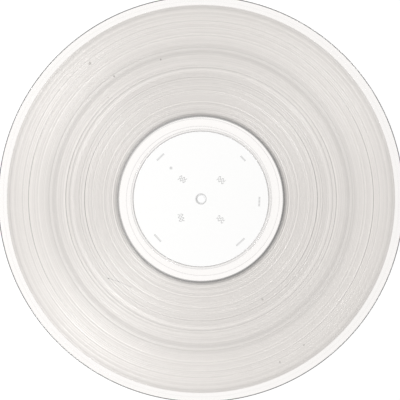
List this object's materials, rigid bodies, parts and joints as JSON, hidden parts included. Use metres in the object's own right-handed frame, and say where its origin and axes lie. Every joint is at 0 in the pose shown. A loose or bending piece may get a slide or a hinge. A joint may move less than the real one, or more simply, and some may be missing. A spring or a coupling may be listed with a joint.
{
  "type": "vinyl record",
  "caption": "Flat round clear vinyl record with a grooved playing area on each face, a thicker rim and centre, white paper labels and a spindle hole.",
  "frame": {"origin": "middle of the spindle hole, in the plane that the record rests on", "axes": "+Z along the spindle axis, from side B below to side A above; X and Y lie in the plane of the record"},
  "size_m": [0.3016, 0.3016, 0.002],
  "materials": {
    "clear_vinyl": "gloss",
    "label_paper": "matte"
  },
  "bodies": {
    "root": {"disc": "clear_vinyl", "label_side_a": "label_paper", "label_side_b": "label_paper"}
  },
  "joints": []
}
